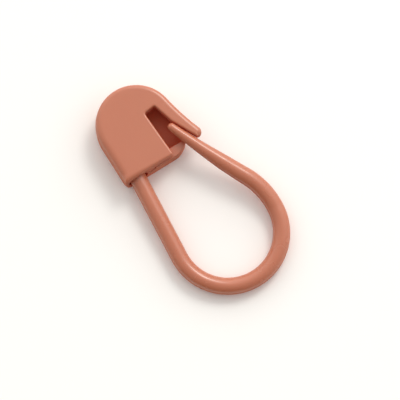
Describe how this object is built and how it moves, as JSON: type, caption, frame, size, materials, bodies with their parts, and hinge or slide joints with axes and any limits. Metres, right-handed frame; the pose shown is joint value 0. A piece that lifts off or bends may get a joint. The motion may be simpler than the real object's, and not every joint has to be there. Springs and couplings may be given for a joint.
{
  "type": "stitch marker",
  "caption": "Locking stitch marker in matte plastic: a pear-shaped wire loop held in a flat D-shaped head, whose tapered arm latches in a window behind a hook.",
  "frame": {"origin": "on the head's flat back face, at the centre of its round end", "axes": "+Y along the leg from the loop to the head, +X from the leg to the arm, +Z out of the head's front"},
  "size_m": [0.0122, 0.0217, 0.0032],
  "materials": {
    "head_plastic": "satin moulded plastic, terracotta pink",
    "loop_plastic": "satin moulded plastic, terracotta pink"
  },
  "bodies": {
    "head": {"front_cover": "head_plastic", "back_tray": "head_plastic", "fixed_leg": "loop_plastic"},
    "near_bow": {"near_bow": "loop_plastic"},
    "far_bow": {"far_bow": "loop_plastic"},
    "arm": {"locking_arm": "loop_plastic"}
  },
  "joints": [
    {"name": "bow_spread", "type": "hinge", "parent": "head", "child": "near_bow", "pos_m": [-0.00115, -0.01517, 0.00087], "axis": [0, 0.0444, -0.999], "range_deg": [0, 7.5]},
    {"name": "arm_lift", "type": "hinge", "parent": "near_bow", "child": "far_bow", "pos_m": [0.00286, -0.01726, 0.00077], "axis": [1, 0, 0], "range_deg": [0, 24], "stiffness_Nm_per_rad": 0.002, "springref_deg": -2.86},
    {"name": "arm_press", "type": "hinge", "parent": "far_bow", "child": "arm", "pos_m": [0.00776, -0.01237, 0.00099], "axis": [0.0479, -0.1455, 0.9882], "range_deg": [0, 4], "stiffness_Nm_per_rad": 0.002, "springref_deg": -2.86}
  ],
  "couplings": [
    {"joint": "bow_spread", "follows": "arm_lift", "ratio": 0.3}
  ]
}
